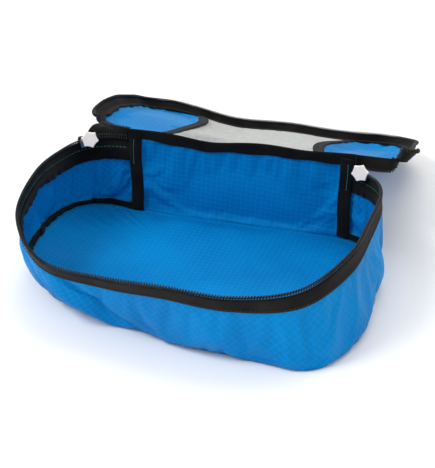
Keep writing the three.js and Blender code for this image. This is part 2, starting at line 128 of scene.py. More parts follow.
# The rim and the base seam: matching points, anticlockwise from the middle of the right end.
RIM = [
    (117, 2, 65),
    arc_point(RIGHT_ARC, 8, RIGHT_RIM_Z),
    arc_point(RIGHT_ARC, 36, RIGHT_RIM_Z),
    arc_point(RIGHT_ARC, 64, RIGHT_RIM_Z),
    (82, HINGE_Y, RIGHT_RIM_Z),
    (0, HINGE_Y, 63),
    (-92, HINGE_Y, LEFT_RIM_Z),
    arc_point(LEFT_ARC, 112, LEFT_RIM_Z),
    arc_point(LEFT_ARC, 142, LEFT_RIM_Z),
    arc_point(LEFT_ARC, 172, LEFT_RIM_Z),
    (-138, 4, 71),
    (-130, -50, 64),
    (-97, -89, 55),
    (-49, -98, 54),
    (-2, -106, 59),
    (43, -106, 58),
    (86, -91, 61),
    (111, -47, 66),
]
BASE = [
    (124, 0, 3),
    (121, 46, 0),
    (113, 70, 0),
    (98, 85, 0),
    (82, HINGE_Y, 0),
    (0, HINGE_Y, 0),
    (-92, HINGE_Y, 2),
    (-110, 88, 4),
    (-127, 77, 7),
    (-137, 58, 9),
    (-141, 18, 13),
    (-134, -26, 12),
    (-101, -56, 4),
    (-53, -69, 0),
    (-4, -84, 0),
    (46, -89, 0),
    (96, -90, 0),
    (120, -52, 0),
]
REAR_RIGHT, REAR_LEFT = 4, 6

# The folds that the empty wall slumps into: where each one crosses the wall's middle, as a share
# of the way round from the right strip, its slope, its width and its height in mm.
WALL_FOLDS = (
    (0.547, 0.10, 0.013, -7.5),
    (0.575, 0.09, 0.013, 3.6),
    (0.62, 0.07, 0.012, -1.4),
    (0.31, -0.06, 0.014, -1.6),
    (0.34, -0.05, 0.012, 1.4),
    (0.44, 0.05, 0.02, 1.0),
    (0.19, 0.05, 0.015, -2.8),
    (0.215, 0.05, 0.014, 2.0),
    (0.80, -0.05, 0.014, -1.5),
)

# The closed lid's outline in its own frame: the hinge line is y = 0, and -y is to the front.
LID_LEFT, LID_RIGHT, LID_FRONT, LID_BOW = -131.0, 126.0, -184.0, 7.0
LID_REAR_RIGHT_R, LID_REAR_LEFT_R, LID_FRONT_R = 12.0, 38.0, 42.0
LID_SKEW = 6.0                     # the right end stands out more at the hinge than at the front
HELD_DEPTH = 12.0                   # how far forward of the hinge the left slider holds the zip
CORNER_TAPE_WIDTH = 11.0
CORNER_TURN_START, CORNER_TURN_END = 120.5, 131.0   # where the rear right tape turns over
WINDOW_LEFT = (-63.0, -58.0, -82.0)     # x at the rear edge, middle and front edge
WINDOW_RIGHT = (64.0, 54.0, 66.0)


# ---- Curves and surfaces ------------------------------------------------------------------
def loop_point(points, u):
    """Point on the closed centripetal spline through points; u runs from 0 to 1 round it."""
    p = np.array(points, float)
    count = len(p)
    place = (u % 1.0) * count
    i = int(place) % count
    t = place - int(place)
    p0, p1, p2, p3 = (p[(i + k) % count] for k in (-1, 0, 1, 2))
    d0, d1, d2 = (math.sqrt(np.linalg.norm(b - a)) for a, b in ((p0, p1), (p1, p2), (p2, p3)))
    m1 = ((p1 - p0) / d0 - (p2 - p0) / (d0 + d1) + (p2 - p1) / d1) * d1
    m2 = ((p2 - p1) / d1 - (p3 - p1) / (d1 + d2) + (p3 - p2) / d2) * d1
    t2, t3 = t * t, t * t * t
    return (
        (2 * t3 - 3 * t2 + 1) * p1 + (t3 - 2 * t2 + t) * m1
        + (-2 * t3 + 3 * t2) * p2 + (t3 - t2) * m2
    )


def rim_point(u):
    """The point of the rim at u, from 0 to 1 round the tray."""
    return loop_point(RIM, u)


def base_point(u):
    """The point of the base seam that lies under rim_point(u)."""
    p = loop_point(BASE, u)
    p[2] = max(p[2], 0.0)
    return p


def rear_station(x):
    """u of the place on the straight rear edge where the rim has this x."""
    low, high = REAR_RIGHT / len(RIM) - 0.06, REAR_LEFT / len(RIM) + 0.06
    for _ in range(40):
        middle = (low + high) / 2
        if rim_point(middle)[0] > x:
            low = middle
        else:
            high = middle
    return (low + high) / 2


def unit(v):
    return v / (np.linalg.norm(v) + 1e-12)


def wall_out(u):
    """Outward direction of the tray's wall at u."""
    along = rim_point(u + 0.002) - rim_point(u - 0.002)
    return unit(np.cross(along, rim_point(u) - base_point(u)))


def around_tray(from_x, to_x, count):
    """Stations from the right strip round the right end, the front and the left end."""
    start, end = rear_station(from_x), rear_station(to_x) - 1.0
    return np.linspace(start, end, count + 1)


def smooth(low, high, x):
    """0 to 1 as x goes from low to high, easing at both ends."""
    t = np.clip((x - low) / (high - low), 0, 1)
    return t * t * (3 - 2 * t)


def wall_grid(stations, low, high, levels, offset=0.0):
    """Grid on the wall between two distances, in mm, below its rim."""
    rows = []
    for u in stations:
        foot, top, out = base_point(u), rim_point(u), wall_out(u)
        length = np.linalg.norm(top - foot)
        distances = np.linspace(low, high, levels + 1)
        shares = 1 - distances / length
        rows.append([foot + (top - foot) * s + out * offset for s in shares])
    return np.array(rows)


def hinge_sag(x):
    """How far the limp rear edge dips below the straight hinge line, in mm."""
    return 3.6 * np.exp(-(((x + 24) / 26) ** 2)) + 1.4 * np.exp(-(((x - 52) / 20) ** 2))


def lid_surface(x, y):
    """Height of the lid's outer face in its own closed frame: the sag at the hinge, and the
    left end, which the closed stretch of zipper holds up."""
    depth = -y
    held = 14.5 * smooth(-25, -122, x) * smooth(-10, 90, depth) * (1 - 0.35 * smooth(120, 190, depth))
    ripple = 0.9 * np.sin(x / 17.0 + depth / 40.0) * smooth(0, 30, depth)
    return -held + ripple + hinge_sag(x) * smooth(40, 0, depth) * 0.9


def open_lid(points):
    """Turns points of the closed lid's frame back about the hinge to where they lie at rest."""
    p = np.asarray(points, float)
    turn = -math.radians(180 + LID_DROOP)
    c, s = math.cos(turn), math.sin(turn)
    return np.stack(
        [p[..., 0], HINGE_Y + p[..., 1] * c - p[..., 2] * s, HINGE_Z + p[..., 1] * s + p[..., 2] * c],
        axis=-1,
    )


def arc_run(cx, cy, r, start, end, count):
    """Points on an arc, between two angles in degrees."""
    turns = np.radians(np.linspace(start, end, count))
    return [(cx + r * math.cos(a), cy + r * math.sin(a)) for a in turns]


def lid_outline():
    """The lid's outline from the rear right corner round the front to the rear left corner."""
    left, right, front = LID_LEFT, LID_RIGHT, LID_FRONT
    rr, rl, rf = LID_REAR_RIGHT_R, LID_REAR_LEFT_R, LID_FRONT_R
    points = arc_run(right - rr, -rr, rr, 90, 0, 16)
    points += arc_run(right - rf, front + rf, rf, 0, -90, 22)
    middle = (left + right) / 2
    for t in np.linspace(0, 1, 30)[1:-1]:
        x = (1 - t) ** 2 * (right - rf) + 2 * t * (1 - t) * middle + t * t * (left + rf)
        points.append((x, front - 4 * t * (1 - t) * LID_BOW))
    points += arc_run(left + rf, front + rf, rf, -90, -180, 22)
    points += arc_run(left + rl, -rl, rl, 180, 90, 22)
    points = np.array(points)
    points[:, 0] += skew(points[:, 0], -points[:, 1])
    return resample(points, 2.0)


def skew(x, depth):
    """How much further out a point of the lid's right end lies than on a straight-sided lid."""
    return LID_SKEW * smooth(60, 110, x) * (1 + 2 * depth / LID_FRONT)


def resample(points, step):
    """The same polyline with even steps of about the given length."""
    seg = np.linalg.norm(np.diff(points, axis=0), axis=1)
    run = np.concatenate([[0], np.cumsum(seg)])
    count = max(2, int(round(run[-1] / step)) + 1)
    at = np.linspace(0, run[-1], count)
    return np.stack([np.interp(at, run, points[:, k]) for k in range(points.shape[1])], axis=1)


# ---- Mesh building ----------------------------------------------------------------------
def new_object(name, verts, faces, material, uvs=None):
    """A smooth-shaded mesh object from points in mm, with its cloth coordinates if given."""
    mesh = bpy.data.meshes.new(name)
    mesh.from_pydata([tuple(v) for v in np.asarray(verts) * MM], [], [tuple(f) for f in faces])
    mesh.validate()
    if uvs is not None:
        layer = mesh.uv_layers.new(name="cloth")
        loops = np.zeros(len(mesh.loops), np.int32)
        mesh.loops.foreach_get("vertex_index", loops)
        layer.data.foreach_set("uv", (np.asarray(uvs, float)[loops] * MM).astype(np.float32).ravel())
    mesh.polygons.foreach_set("use_smooth", [True] * len(mesh.polygons))
    mesh.materials.append(material)
    mesh.update()
    obj = bpy.data.objects.new(name, mesh)
    bpy.context.scene.collection.objects.link(obj)
    return obj


def grid_faces(rows, columns, closed=False):
    """The four-sided faces between a grid's points, which are numbered row by row."""
    spans = rows if closed else rows - 1
    faces = []
    for i in range(spans):
        a, b = i * columns, ((i + 1) % rows) * columns
        for j in range(columns - 1):
            faces.append((a + j, b + j, b + j + 1, a + j + 1))
    return faces


def grid_uv(grid):
    """Distances along and across a grid, in mm."""
    along = np.linalg.norm(np.diff(grid, axis=0), axis=2).mean(axis=1)
    u = np.concatenate([[0], np.cumsum(along)])
    across = np.linalg.norm(np.diff(grid, axis=1), axis=2)
    v = np.concatenate([np.zeros((grid.shape[0], 1)), np.cumsum(across, axis=1)], axis=1)
    return np.stack([np.repeat(u[:, None], grid.shape[1], axis=1), v], axis=-1)


def cloth_sheet(name, grid, material, thickness, closed=False):
    """A limp sheet from a grid of points, given its thickness by a Solidify modifier."""
    rows, columns = grid.shape[:2]
    faces = grid_faces(rows, columns, closed)
    obj = new_object(name, grid.reshape(-1, 3), faces, material, grid_uv(grid).reshape(-1, 2))
    solid = obj.modifiers.new("thickness", "SOLIDIFY")
    solid.thickness = thickness * MM
    solid.offset = 0
    return obj


def sweep(name, centres, sides, ups, section, material):
    """A section, in mm along each station's side and up directions, swept along a path."""
    count = len(centres)
    section = np.asarray(section, float)
    if section.ndim == 2:
        section = np.repeat(section[None], count, axis=0)
    verts = (
        centres[:, None] + sides[:, None] * section[..., 0:1] + ups[:, None] * section[..., 1:2]
    )
    faces = []
    for i in range(count - 1):
        a, b = i * section.shape[1], (i + 1) * section.shape[1]
        for j in range(section.shape[1]):
            k = (j + 1) % section.shape[1]
            faces.append((a + j, b + j, b + k, a + k))
    faces.append(tuple(range(section.shape[1]))[::-1])
    faces.append(tuple((count - 1) * section.shape[1] + j for j in range(section.shape[1])))
    run = np.concatenate([[0], np.cumsum(np.linalg.norm(np.diff(centres, axis=0), axis=1))])
    around = np.linspace(0, 2 * BINDING_WIDTH, section.shape[1])
    uv = np.stack(np.meshgrid(run, around, indexing="ij"), axis=-1)
    return new_object(name, verts.reshape(-1, 3), faces, material, uv.reshape(-1, 2))


def rounded_section(width, height, low=0.0, points=5):
    """A flat oval: width along the side direction, height along up, sitting from low."""
    r = min(width, height) / 2
    section = []
    for cx, cy, a0 in (
        (width / 2 - r, height - r, 0), (-width / 2 + r, height - r, 90),
        (-width / 2 + r, r, 180), (width / 2 - r, r, 270),
    ):
        for k in range(points):
            a = math.radians(a0 + 90 * k / (points - 1))
            section.append((cx + r * math.cos(a), low + cy + r * math.sin(a)))
    return np.array(section)


def frames_along(centres, up):
    """Side and up directions along a path, from a preferred up direction for each station."""
    along = np.gradient(centres, axis=0)
    along /= np.linalg.norm(along, axis=1)[:, None] + 1e-12
    up = np.broadcast_to(np.asarray(up, float), centres.shape)
    side = np.cross(along, up)
    side /= np.linalg.norm(side, axis=1)[:, None] + 1e-12
    return side, np.cross(side, along)


def zipper_coil(name, line, outward):
    """A nylon coil: a wire wound round the line, with its turns a pitch apart."""
    line = resample(np.hstack([line, outward]), COIL_PITCH / LOOP_STEPS)
    centre, out = line[:, :3], line[:, 3:]
    along = np.gradient(centre, axis=0)
    along /= np.linalg.norm(along, axis=1)[:, None]
    out = out - along * (out * along).sum(axis=1)[:, None]
    out /= np.linalg.norm(out, axis=1)[:, None]
    up = np.cross(along, out)
    turn = np.arange(len(centre)) * 2 * math.pi / LOOP_STEPS
    radius = COIL_RADIUS - WIRE_RADIUS
    depths = (radius * COIL_SQUEEZE * np.cos(turn))[:, None]
    heights = (radius * np.sin(turn))[:, None]
    path = centre + out * depths + up * heights
    side, lift = frames_along(path, along)
    ring = [
        (WIRE_RADIUS * math.cos(a), WIRE_RADIUS * math.sin(a))
        for a in np.linspace(0, 2 * math.pi, 6, endpoint=False)
    ]
    return sweep(name, path, side, lift, ring, coil_nylon)


def stitches(name, line, outward, material, length=STITCH_LENGTH, gap=STITCH_GAP, radius=0.32):
    """A row of thread stitches that lie on a surface along a line."""
    data = resample(np.hstack([line, outward]), (length + gap) / 6)
    verts, faces = [], []
    for i in range(0, len(data) - 6, 6):
        for k in range(5):
            t = k / 4
            here, out = data[i + k, :3], unit(data[i + k, 3:])
            along = unit(data[i + k + 1, :3] - here)
            side = np.cross(along, out)
            swell = radius * (0.35 + 0.65 * math.sin(math.pi * t) ** 0.5)
            lift = radius * (1.5 * math.sin(math.pi * t) - 0.6)
            for a in np.linspace(0, 2 * math.pi, 6, endpoint=False):
                verts.append(here + out * (lift + swell * math.sin(a)) + side * swell * math.cos(a))
        base = len(verts) - 30
        for k in range(4):
            for j in range(6):
                a, b = base + k * 6 + j, base + k * 6 + (j + 1) % 6
                faces.append((a, b, b + 6, a + 6))
        faces.append(tuple(base + j for j in range(6))[::-1])
        faces.append(tuple(base + 24 + j for j in range(6)))
    return new_object(name, verts, faces, material)


# ---- Cloth simulation -----------------------------------------------------------------------
def settle(obj, pinned, slack, reach):
    """Lets a pinned sheet that is cut a little too large buckle and sag, then keeps the shape."""
    for modifier in obj.modifiers:
        modifier.show_viewport = False
    mesh = obj.data
    before = np.zeros(len(mesh.vertices) * 3, np.float32)
    mesh.vertices.foreach_get("co", before)
    group = obj.vertex_groups.new(name="seams")
    group.add([int(i) for i in np.nonzero(pinned)[0]], 1.0, "REPLACE")
    cloth = obj.modifiers.new("cloth", "CLOTH")
    settings = cloth.settings
    settings.quality = 6
    settings.mass = CLOTH_MASS
    settings.tension_stiffness = CLOTH_STRETCH
    settings.compression_stiffness = CLOTH_STRETCH
    settings.shear_stiffness = CLOTH_SHEAR
    settings.bending_stiffness = CLOTH_BEND
    settings.vertex_group_mass = "seams"
    settings.shrink_min = -slack
    settings.effector_weights.gravity = SETTLE_GRAVITY
    cloth.collision_settings.use_collision = False
    cloth.point_cache.frame_start = 1
    cloth.point_cache.frame_end = SETTLE_FRAMES
    scene = bpy.context.scene
    for number in range(1, SETTLE_FRAMES + 1):
        scene.frame_set(number)
    depsgraph = bpy.context.evaluated_depsgraph_get()
    result = obj.evaluated_get(depsgraph).to_mesh()
    after = np.zeros(len(before), np.float32)
    result.vertices.foreach_get("co", after)
    obj.evaluated_get(depsgraph).to_mesh_clear()
    obj.modifiers.remove(cloth)
    obj.vertex_groups.remove(group)
    scene.frame_set(1)
    move = (after - before).reshape(-1, 3)
    far = np.linalg.norm(move, axis=1)
    limit = reach * MM
    move *= np.where(far > limit, limit / np.maximum(far, 1e-9), 1)[:, None]
    start = before.reshape(-1, 3)
    points = start + move
    points[:, 2] = np.maximum(points[:, 2], np.minimum(start[:, 2], FLOOR_GAP * MM))
    mesh.vertices.foreach_set("co", points.astype(np.float32).ravel())
    mesh.update()
    for modifier in obj.modifiers:
        modifier.show_viewport = True


# ---- Materials --------------------------------------------------------------------------
class Nodes:
    """A short way to build a material's node tree."""

    def __init__(self, name):
        self.material = bpy.data.materials.new(name)
        self.material.use_nodes = True
        self.tree = self.material.node_tree
        self.shader = self.tree.nodes["Principled BSDF"]

    def add(self, kind, settings=None, **inputs):
        node = self.tree.nodes.new(kind)
        for key, value in (settings or {}).items():
            setattr(node, key, value)
        for key, value in inputs.items():
            self.feed(node, key.replace("_", " "), value)
        return node

    def feed(self, node, key, value):
        socket = node.inputs[int(key)] if key.isdigit() else node.inputs[key]
        if isinstance(value, bpy.types.NodeSocket):
            self.tree.links.new(value, socket)
        else:
            socket.default_value = value

    def shade(self, **inputs):
        for key, value in inputs.items():
            self.feed(self.shader, key.replace("_", " "), value)
        return self.material

    def math(self, operation, a, b=0.0):
        node = self.add("ShaderNodeMath", {"operation": operation})
        self.feed(node, "0", a)
        self.feed(node, "1", b)
        return node.outputs[0]

    def noise(self, vector, scale, detail=2.0):
        node = self.add("ShaderNodeTexNoise", Vector=vector, Scale=scale, Detail=detail)
        return node.outputs["Fac"]

    def mix(self, factor, a, b):
        node = self.add("ShaderNodeMix", {"data_type": "RGBA"})
        self.tree.links.new(factor, node.inputs["Factor"])
        node.inputs[6].default_value = (*a, 1) if isinstance(a, tuple) else a
        if isinstance(b, tuple):
            node.inputs[7].default_value = (*b, 1)
        else:
            self.tree.links.new(b, node.inputs[7])
        return node.outputs[2]

    def bump(self, height, strength, distance):
        node = self.add("ShaderNodeBump", Height=height, Strength=strength, Distance=distance)
        return node.outputs["Normal"]

    def ramp(self, factor, low, high):
        node = self.add("ShaderNodeMapRange", Value=factor)
        node.inputs["From Min"].default_value = low
        node.inputs["From Max"].default_value = high
        return node.outputs["Result"]


def thread_lines(n, vector, axis, cell, width):
    """1 on thin lines a cell apart along one axis of the vector, 0 between them."""
    split = n.add("ShaderNodeSeparateXYZ", Vector=vector).outputs[axis]
    place = n.math("FRACT", n.math("DIVIDE", split, cell))
    near = n.math("ABSOLUTE", n.math("SUBTRACT", place, 0.5))
    return n.ramp(near, 0.5 - width, 0.5)


def ripstop(name, light, dark, angle):
    """Coated ripstop: a fine plain weave crossed by a grid of heavier, lighter threads."""
    n = Nodes(name)
    uv = n.add("ShaderNodeUVMap", {"uv_map": "cloth"}).outputs[0]
    turned = n.add("ShaderNodeMapping", Vector=uv)
    turned.inputs["Rotation"].default_value = (0, 0, math.radians(angle))
    wobble = n.add("ShaderNodeTexNoise", {"noise_dimensions": "3D"}, Vector=uv, Scale=40.0)
    mixed = n.add("ShaderNodeMix", {"data_type": "VECTOR"}, Factor=0.0012)
    n.tree.links.new(turned.outputs[0], mixed.inputs[4])
    n.tree.links.new(wobble.outputs["Color"], mixed.inputs[5])
    place = mixed.outputs[1]
    cell = RIPSTOP_CELL * MM
    grid = n.math("MAXIMUM", thread_lines(n, place, 0, cell, 0.07), thread_lines(n, place, 1, cell, 0.07))
    weave = n.math(
        "MULTIPLY",
        thread_lines(n, place, 0, 0.00055, 0.5),
        thread_lines(n, place, 1, 0.00055, 0.5),
    )
    where = n.add("ShaderNodeTexCoord").outputs["Object"]
    drift = n.ramp(n.noise(where, 14.0, 3.0), 0.3, 0.7)
    body = n.mix(drift, dark, light)
    bright = (light[0] + 0.02, light[1] + 0.13, light[2] + 0.16)
    fine = n.noise(where, 900.0, 2.0)
    faint = n.math("MULTIPLY", grid, 0.5)
    mixer = n.add("ShaderNodeMix", {"data_type": "RGBA"})
    n.tree.links.new(faint, mixer.inputs["Factor"])
    n.tree.links.new(body, mixer.inputs[6])
    mixer.inputs[7].default_value = (*bright, 1)
    height = n.math("ADD", n.math("MULTIPLY", grid, 1.0), n.math("MULTIPLY", weave, 0.35))
    height = n.math("ADD", height, n.math("MULTIPLY", fine, 0.25))
    rough = n.add("ShaderNodeMapRange", Value=fine)
    rough.inputs["To Min"].default_value = 0.42
    rough.inputs["To Max"].default_value = 0.6
    return n.shade(
        Base_Color=mixer.outputs[2],
        Roughness=rough.outputs["Result"],
        Specular_IOR_Level=0.14,
        Specular_Tint=(0.2, 0.6, 1.0, 1.0),
        Normal=n.bump(height, 0.5, 0.00025),
    )


def ribbed(name, light, dark, rib):
    """Woven tape or binding: ribs across it, a fine weave, and slightly dusty threads."""
    n = Nodes(name)
    uv = n.add("ShaderNodeUVMap", {"uv_map": "cloth"}).outputs[0]
    ribs = thread_lines(n, uv, 0, rib * MM, 0.5)
    rows = thread_lines(n, uv, 1, rib * MM * 0.8, 0.5)
    where = n.add("ShaderNodeTexCoord").outputs["Object"]
    fuzz = n.noise(where, 1600.0, 2.0)
    drift = n.ramp(n.noise(where, 45.0, 3.0), 0.35, 0.7)
    threads = n.math("ADD", n.math("MULTIPLY", ribs, 0.6), n.math("MULTIPLY", fuzz, 0.6))
    shade = n.math("MULTIPLY", threads, drift)
    height = n.math("ADD", n.math("MULTIPLY", ribs, 0.7), n.math("MULTIPLY", rows, 0.5))
    height = n.math("ADD", height, n.math("MULTIPLY", fuzz, 0.4))
    return n.shade(
        Base_Color=n.mix(shade, dark, light),
        Roughness=TAPE_ROUGHNESS,
        Sheen_Weight=TAPE_SHEEN,
        Sheen_Roughness=0.5,
        Specular_IOR_Level=0.08,
        Normal=n.bump(height, 0.7, 0.0003),
    )


def moulded(name, light, dark, roughness, grain, metallic=0.0, coat=0.0):
    """Moulded plastic or painted metal: a slight mottle, fine grain and uneven gloss."""
    n = Nodes(name)
    where = n.add("ShaderNodeTexCoord").outputs["Object"]
    mottle = n.ramp(n.noise(where, 220.0, 4.0), 0.3, 0.75)
    fine = n.noise(where, grain, 2.0)
    rough = n.add("ShaderNodeMapRange", Value=fine)
    rough.inputs["To Min"].default_value = roughness * 0.8
    rough.inputs["To Max"].default_value = min(1.0, roughness * 1.3)
    return n.shade(
        Base_Color=n.mix(mottle, dark, light),
        Roughness=rough.outputs["Result"],
        Metallic=metallic,
        Coat_Weight=coat,
        Specular_IOR_Level=0.3,
        Normal=n.bump(n.math("ADD", fine, n.math("MULTIPLY", mottle, 0.5)), 0.25, 0.0002),
    )


blue = ripstop("ripstop_blue", (0.0, 0.225, 0.59), (0.0, 0.155, 0.45), 38)
# A second copy of the ripstop with its threads laid straight, a little darker than the first: the darker
# colour is painted shade, used for the bottom, the back panel and the lid's panels.
shaded_blue = ripstop("ripstop_blue_straight_shaded", (0.0, 0.215, 0.56), (0.0, 0.15, 0.43), 4)
binding = ribbed("binding_black", (0.010, 0.010, 0.011), (0.002, 0.002, 0.0024), 1.1)
tape = ribbed("tape_charcoal", (0.022, 0.0205, 0.0195), (0.005, 0.0048, 0.0045), 0.9)
coil_nylon = moulded("coil_black", (0.020, 0.020, 0.021), (0.006, 0.006, 0.006), 0.3, 900.0)
net_thread = moulded("net_grey", (0.60, 0.61, 0.59), (0.44, 0.45, 0.44), 0.6, 1500.0)
teal = moulded("thread_teal", (0.03, 0.26, 0.28), (0.01, 0.14, 0.16), 0.5, 1500.0)
black_thread = moulded("thread_black", (0.03, 0.03, 0.03), (0.012, 0.012, 0.012), 0.6, 1500.0)
metal = moulded("slider_metal", (0.36, 0.34, 0.31), (0.22, 0.21, 0.19), 0.35, 600.0, metallic=0.8)
plastic = moulded("pull_plastic", (0.98, 0.90, 0.86), (0.93, 0.84, 0.80), 0.4, 500.0, coat=0.2)


# ---- The tray -----------------------------------------------------------------------------
def pins(rows, columns, low_edge=1):
    """Marks the points of a grid that its seams hold: all four edges."""
    mask = np.zeros((rows, columns), bool)
    mask[:, :low_edge] = True
    mask[:, -2:] = True
    mask[:2] = mask[-2:] = True
    return mask.ravel()


def make_wall():
    """The wall round the right end, the front and the left end, settled, and its grid."""
    stations = around_tray(WALL_END, -WALL_END, WALL_STATIONS)
    rows = []
    for u in stations:
        foot, top, out = base_point(u), rim_point(u), wall_out(u)
        length = np.linalg.norm(top - foot)
        highest = 1 - (TAPE_WIDTH - SEAM_OVERLAP) / length
        row = []
        for share in np.linspace(0, 1, WALL_LEVELS + 1):
            height = share * highest
            p = foot + (top - foot) * height
            belly = math.sin(math.pi * share) * WALL_BELLY
            tuck = -0.6 * math.exp(-((share / 0.05) ** 2))
            row.append(p + out * (belly + tuck))
        rows.append(row)
    grid = np.array(rows)
    slump_folds(grid)
    obj = cloth_sheet("wall_gusset_cloth", grid, blue, SKIN)
    settle(obj, pins(len(stations), WALL_LEVELS + 1), WALL_SLACK, WALL_REACH)
    return obj, settled_grid(obj, len(stations), WALL_LEVELS + 1)


def settled_grid(obj, rows, columns):
    """The points of a sheet as they lie after settling, in mm."""
    points = np.zeros(len(obj.data.vertices) * 3, np.float32)
    obj.data.vertices.foreach_get("co", points)
    return points.reshape(rows, columns, 3).astype(float) / MM


def follow(grid, stations, low, high, levels):
    """A narrower band inside a settled wall, between two distances from its first edge."""
    rows = []
    for column, u in zip(grid, stations):
        run = np.concatenate([[0], np.cumsum(np.linalg.norm(np.diff(column, axis=0), axis=1))])
        at = np.linspace(low, high, levels + 1)
        inner = np.stack([np.interp(at, run, column[:, k]) for k in range(3)], axis=1)
        rows.append(inner - wall_out(u) * BINDING_INSET)
    return np.array(rows)


def outward_normals(grid):
    """Normals of a wall grid that runs from the right strip round to the left one."""
    normals = np.cross(np.gradient(grid, axis=1), np.gradient(grid, axis=0))
    return normals / (np.linalg.norm(normals, axis=2)[..., None] + 1e-12)


def slump_folds(grid):
    """Presses the wall's long diagonal folds into its grid."""
    count, across = grid.shape[:2]
    along = np.linspace(0, 1, count)[:, None]
    up = np.linspace(0, 1, across)[None, :]
    lift = np.zeros((count, across))
    for centre, slope, width, depth in WALL_FOLDS:
        line = along - centre - slope * (up - 0.4)
        lift += depth * np.exp(-((line / width) ** 2)) * np.sin(np.pi * up) ** 0.8
    grid += outward_normals(grid) * lift[..., None]
    grid[..., 2] = np.maximum(grid[..., 2], FLOOR_GAP)


def make_bottom():
    """The bottom panel, whose edge turns up into the base seam."""
    around, rings = 200, 40
    centre = np.array([-5.0, 0.0, 0.0])
    shares = np.linspace(0.02, 1.0, rings)
    rows = []
    for i in range(around):
        u = i / around
        edge = base_point(u) - wall_out(u) * 0.5
        row = []
        for share in shares:
            p = centre + (edge - centre) * share
            rise = max(0.0, (share - 0.75) / 0.25) ** 2
            p[2] = max(edge[2] * rise, 0.0) + 0.5 + SEAM_TURN_UP * (share > 0.985)
            row.append(p)
        rows.append(row)
    grid = np.array(rows)
    x, y = grid[..., 0], grid[..., 1]
    puff = 1.6 * (np.sin(x / 23 + y / 31) + np.sin(x / 41 - y / 19) + 1.2)
    pucker = 0.4 * (1 + np.sin(np.arange(around) * 1.05 + 2 * np.sin(np.arange(around) / 9.0)))
    grid[..., 2] += np.clip(puff, 0, 4) * smooth(1.0, 0.8, shares)[None, :] * 0.8
    grid[..., 2] += pucker[:, None] * (smooth(0.6, 0.9, shares) * smooth(1.0, 0.93, shares))[None, :]
    obj = cloth_sheet("bottom_panel_cloth", grid, shaded_blue, SKIN, closed=True)
    uv = obj.data.uv_layers["cloth"].data
    for loop in obj.data.loops:
        co = obj.data.vertices[loop.vertex_index].co
        uv[loop.index].uv = (co.x, co.y)
    cap_hole(obj, around, rings)
    return obj


def cap_hole(obj, around, rings):
    """Closes the small hole in the middle of the bottom."""
    bm = bmesh.new()
    bm.from_mesh(obj.data)
    bm.verts.ensure_lookup_table()
    bm.faces.new([bm.verts[i * rings] for i in range(around)][::-1])
    bm.to_mesh(obj.data)
    bm.free()


def make_back_panel():
    """The back wall between the two upright strips, settled."""
    columns, rows = 90, 36
    xs = np.linspace(-PANEL_END, PANEL_END, columns + 1)
    grid = []
    for x in xs:
        top = HINGE_Z - 3.5 - hinge_sag(x)
        row = []
        for share in np.linspace(0, 1, rows + 1):
            lean = BACK_LEAN * math.sin(math.pi * share) * math.cos(math.pi * x / (2 * PANEL_END + 8))
            row.append((x, HINGE_Y - lean, 1.0 + (top - 1.0) * share))
        grid.append(row)
    grid = np.array(grid)
    obj = cloth_sheet("back_panel_cloth", grid, shaded_blue, SKIN)
    settle(obj, pins(columns + 1, rows + 1), PANEL_SLACK, PANEL_REACH)
    return obj


def make_lower_tape():
    """The tray's half of the zipper tape, which waves a little along both its edges."""
    stations = around_tray(TAPE_END, -TAPE_END, 340)
    grid = wall_grid(stations, TAPE_WIDTH, 0.3, TAPE_LEVELS, 0.4)
    outs = np.array([wall_out(u) for u in stations])
    run = np.linspace(0, 1, len(stations))
    swing = 0.4 * (np.sin(run * 47) + 0.6 * np.sin(run * 83 + 1))
    edge = np.abs(np.linspace(0, 1, grid.shape[1]) - 0.5)
    grid += outs[:, None] * (swing[:, None] * edge[None])[..., None]
    return cloth_sheet("lower_zipper_tape_cloth", grid, tape, TAPE_THICK)


def rim_line(end, count, drop=0.0, offset=0.0):
    """A line round the tray at a distance below the rim, with its outward directions."""
    stations = around_tray(end, -end, count)
    line, outs = [], []
    for u in stations:
        foot, top, out = base_point(u), rim_point(u), wall_out(u)
        length = np.linalg.norm(top - foot)
        line.append(top + (foot - top) * (drop / length) + out * offset)
        outs.append(out)
    return np.array(line), np.array(outs)


def make_strip(side):
    """One upright strip over the seam between the wall and the back panel."""
    rows = []
    inward = 1.9
    for t in np.linspace(0, 1, 9):
        x = side * (STRIP_INNER + (STRIP_OUTER - STRIP_INNER) * t)
        u = rear_station(x)
        y = min(rim_point(u)[1], base_point(u)[1]) - inward - 0.5 * math.sin(math.pi * t)
        zs = np.linspace(3, HINGE_Z - 2.5, 40)
        drift = 0.5 * np.sin(zs / 9.0 + side)
        rows.append([(x + drift[k] * 0.8, y + drift[k] * 0.3, zs[k]) for k in range(40)])
    grid = np.array(rows if side > 0 else rows[::-1])
    return cloth_sheet(f"end_strip_{SIDE_NAMES[side]}_cloth", grid, binding, BINDING_THICK)


def strip_stitches(side):
    """The bartack: a short row of teal stitches on an upright strip."""
    x = side * (STRIP_INNER + 6.2)
    zs = np.linspace(46, 70, 30)
    u = rear_station(x)
    y = min(rim_point(u)[1], base_point(u)[1]) - 3.1
    line = np.stack([x + 0.5 * np.sin(zs / 9.0 + side), np.full(30, y), zs], axis=1)
    outs = np.repeat([[0.0, -1.0, 0.0]], 30, axis=0)
    return stitches(f"bartack_{SIDE_NAMES[side]}_thread", line, outs, teal, 1.5, 0.4, 0.36)


def make_hinge_binding():
    """The binding that joins the back panel's top edge to the lid."""
    xs = np.linspace(-STRIP_OUTER - 2, STRIP_OUTER + 2, 160)
    centres = np.stack([xs, HINGE_Y - 0.4 + 0.4 * np.sin(xs / 13), HINGE_Z - hinge_sag(xs)], axis=1)
    sides = np.repeat([[0.0, 1.0, 0.0]], len(xs), axis=0)
    ups = np.repeat([[0.0, 0.0, 1.0]], len(xs), axis=0)
    sections = []
    for x in xs:
        height = 9.2 + 0.7 * math.sin(x / 11) + 0.5 * math.sin(x / 5.3)
        sections.append(rounded_section(3.0, height, 1.2 - height))
    return sweep("hinge_binding_cloth", centres, sides, ups, np.array(sections), binding)


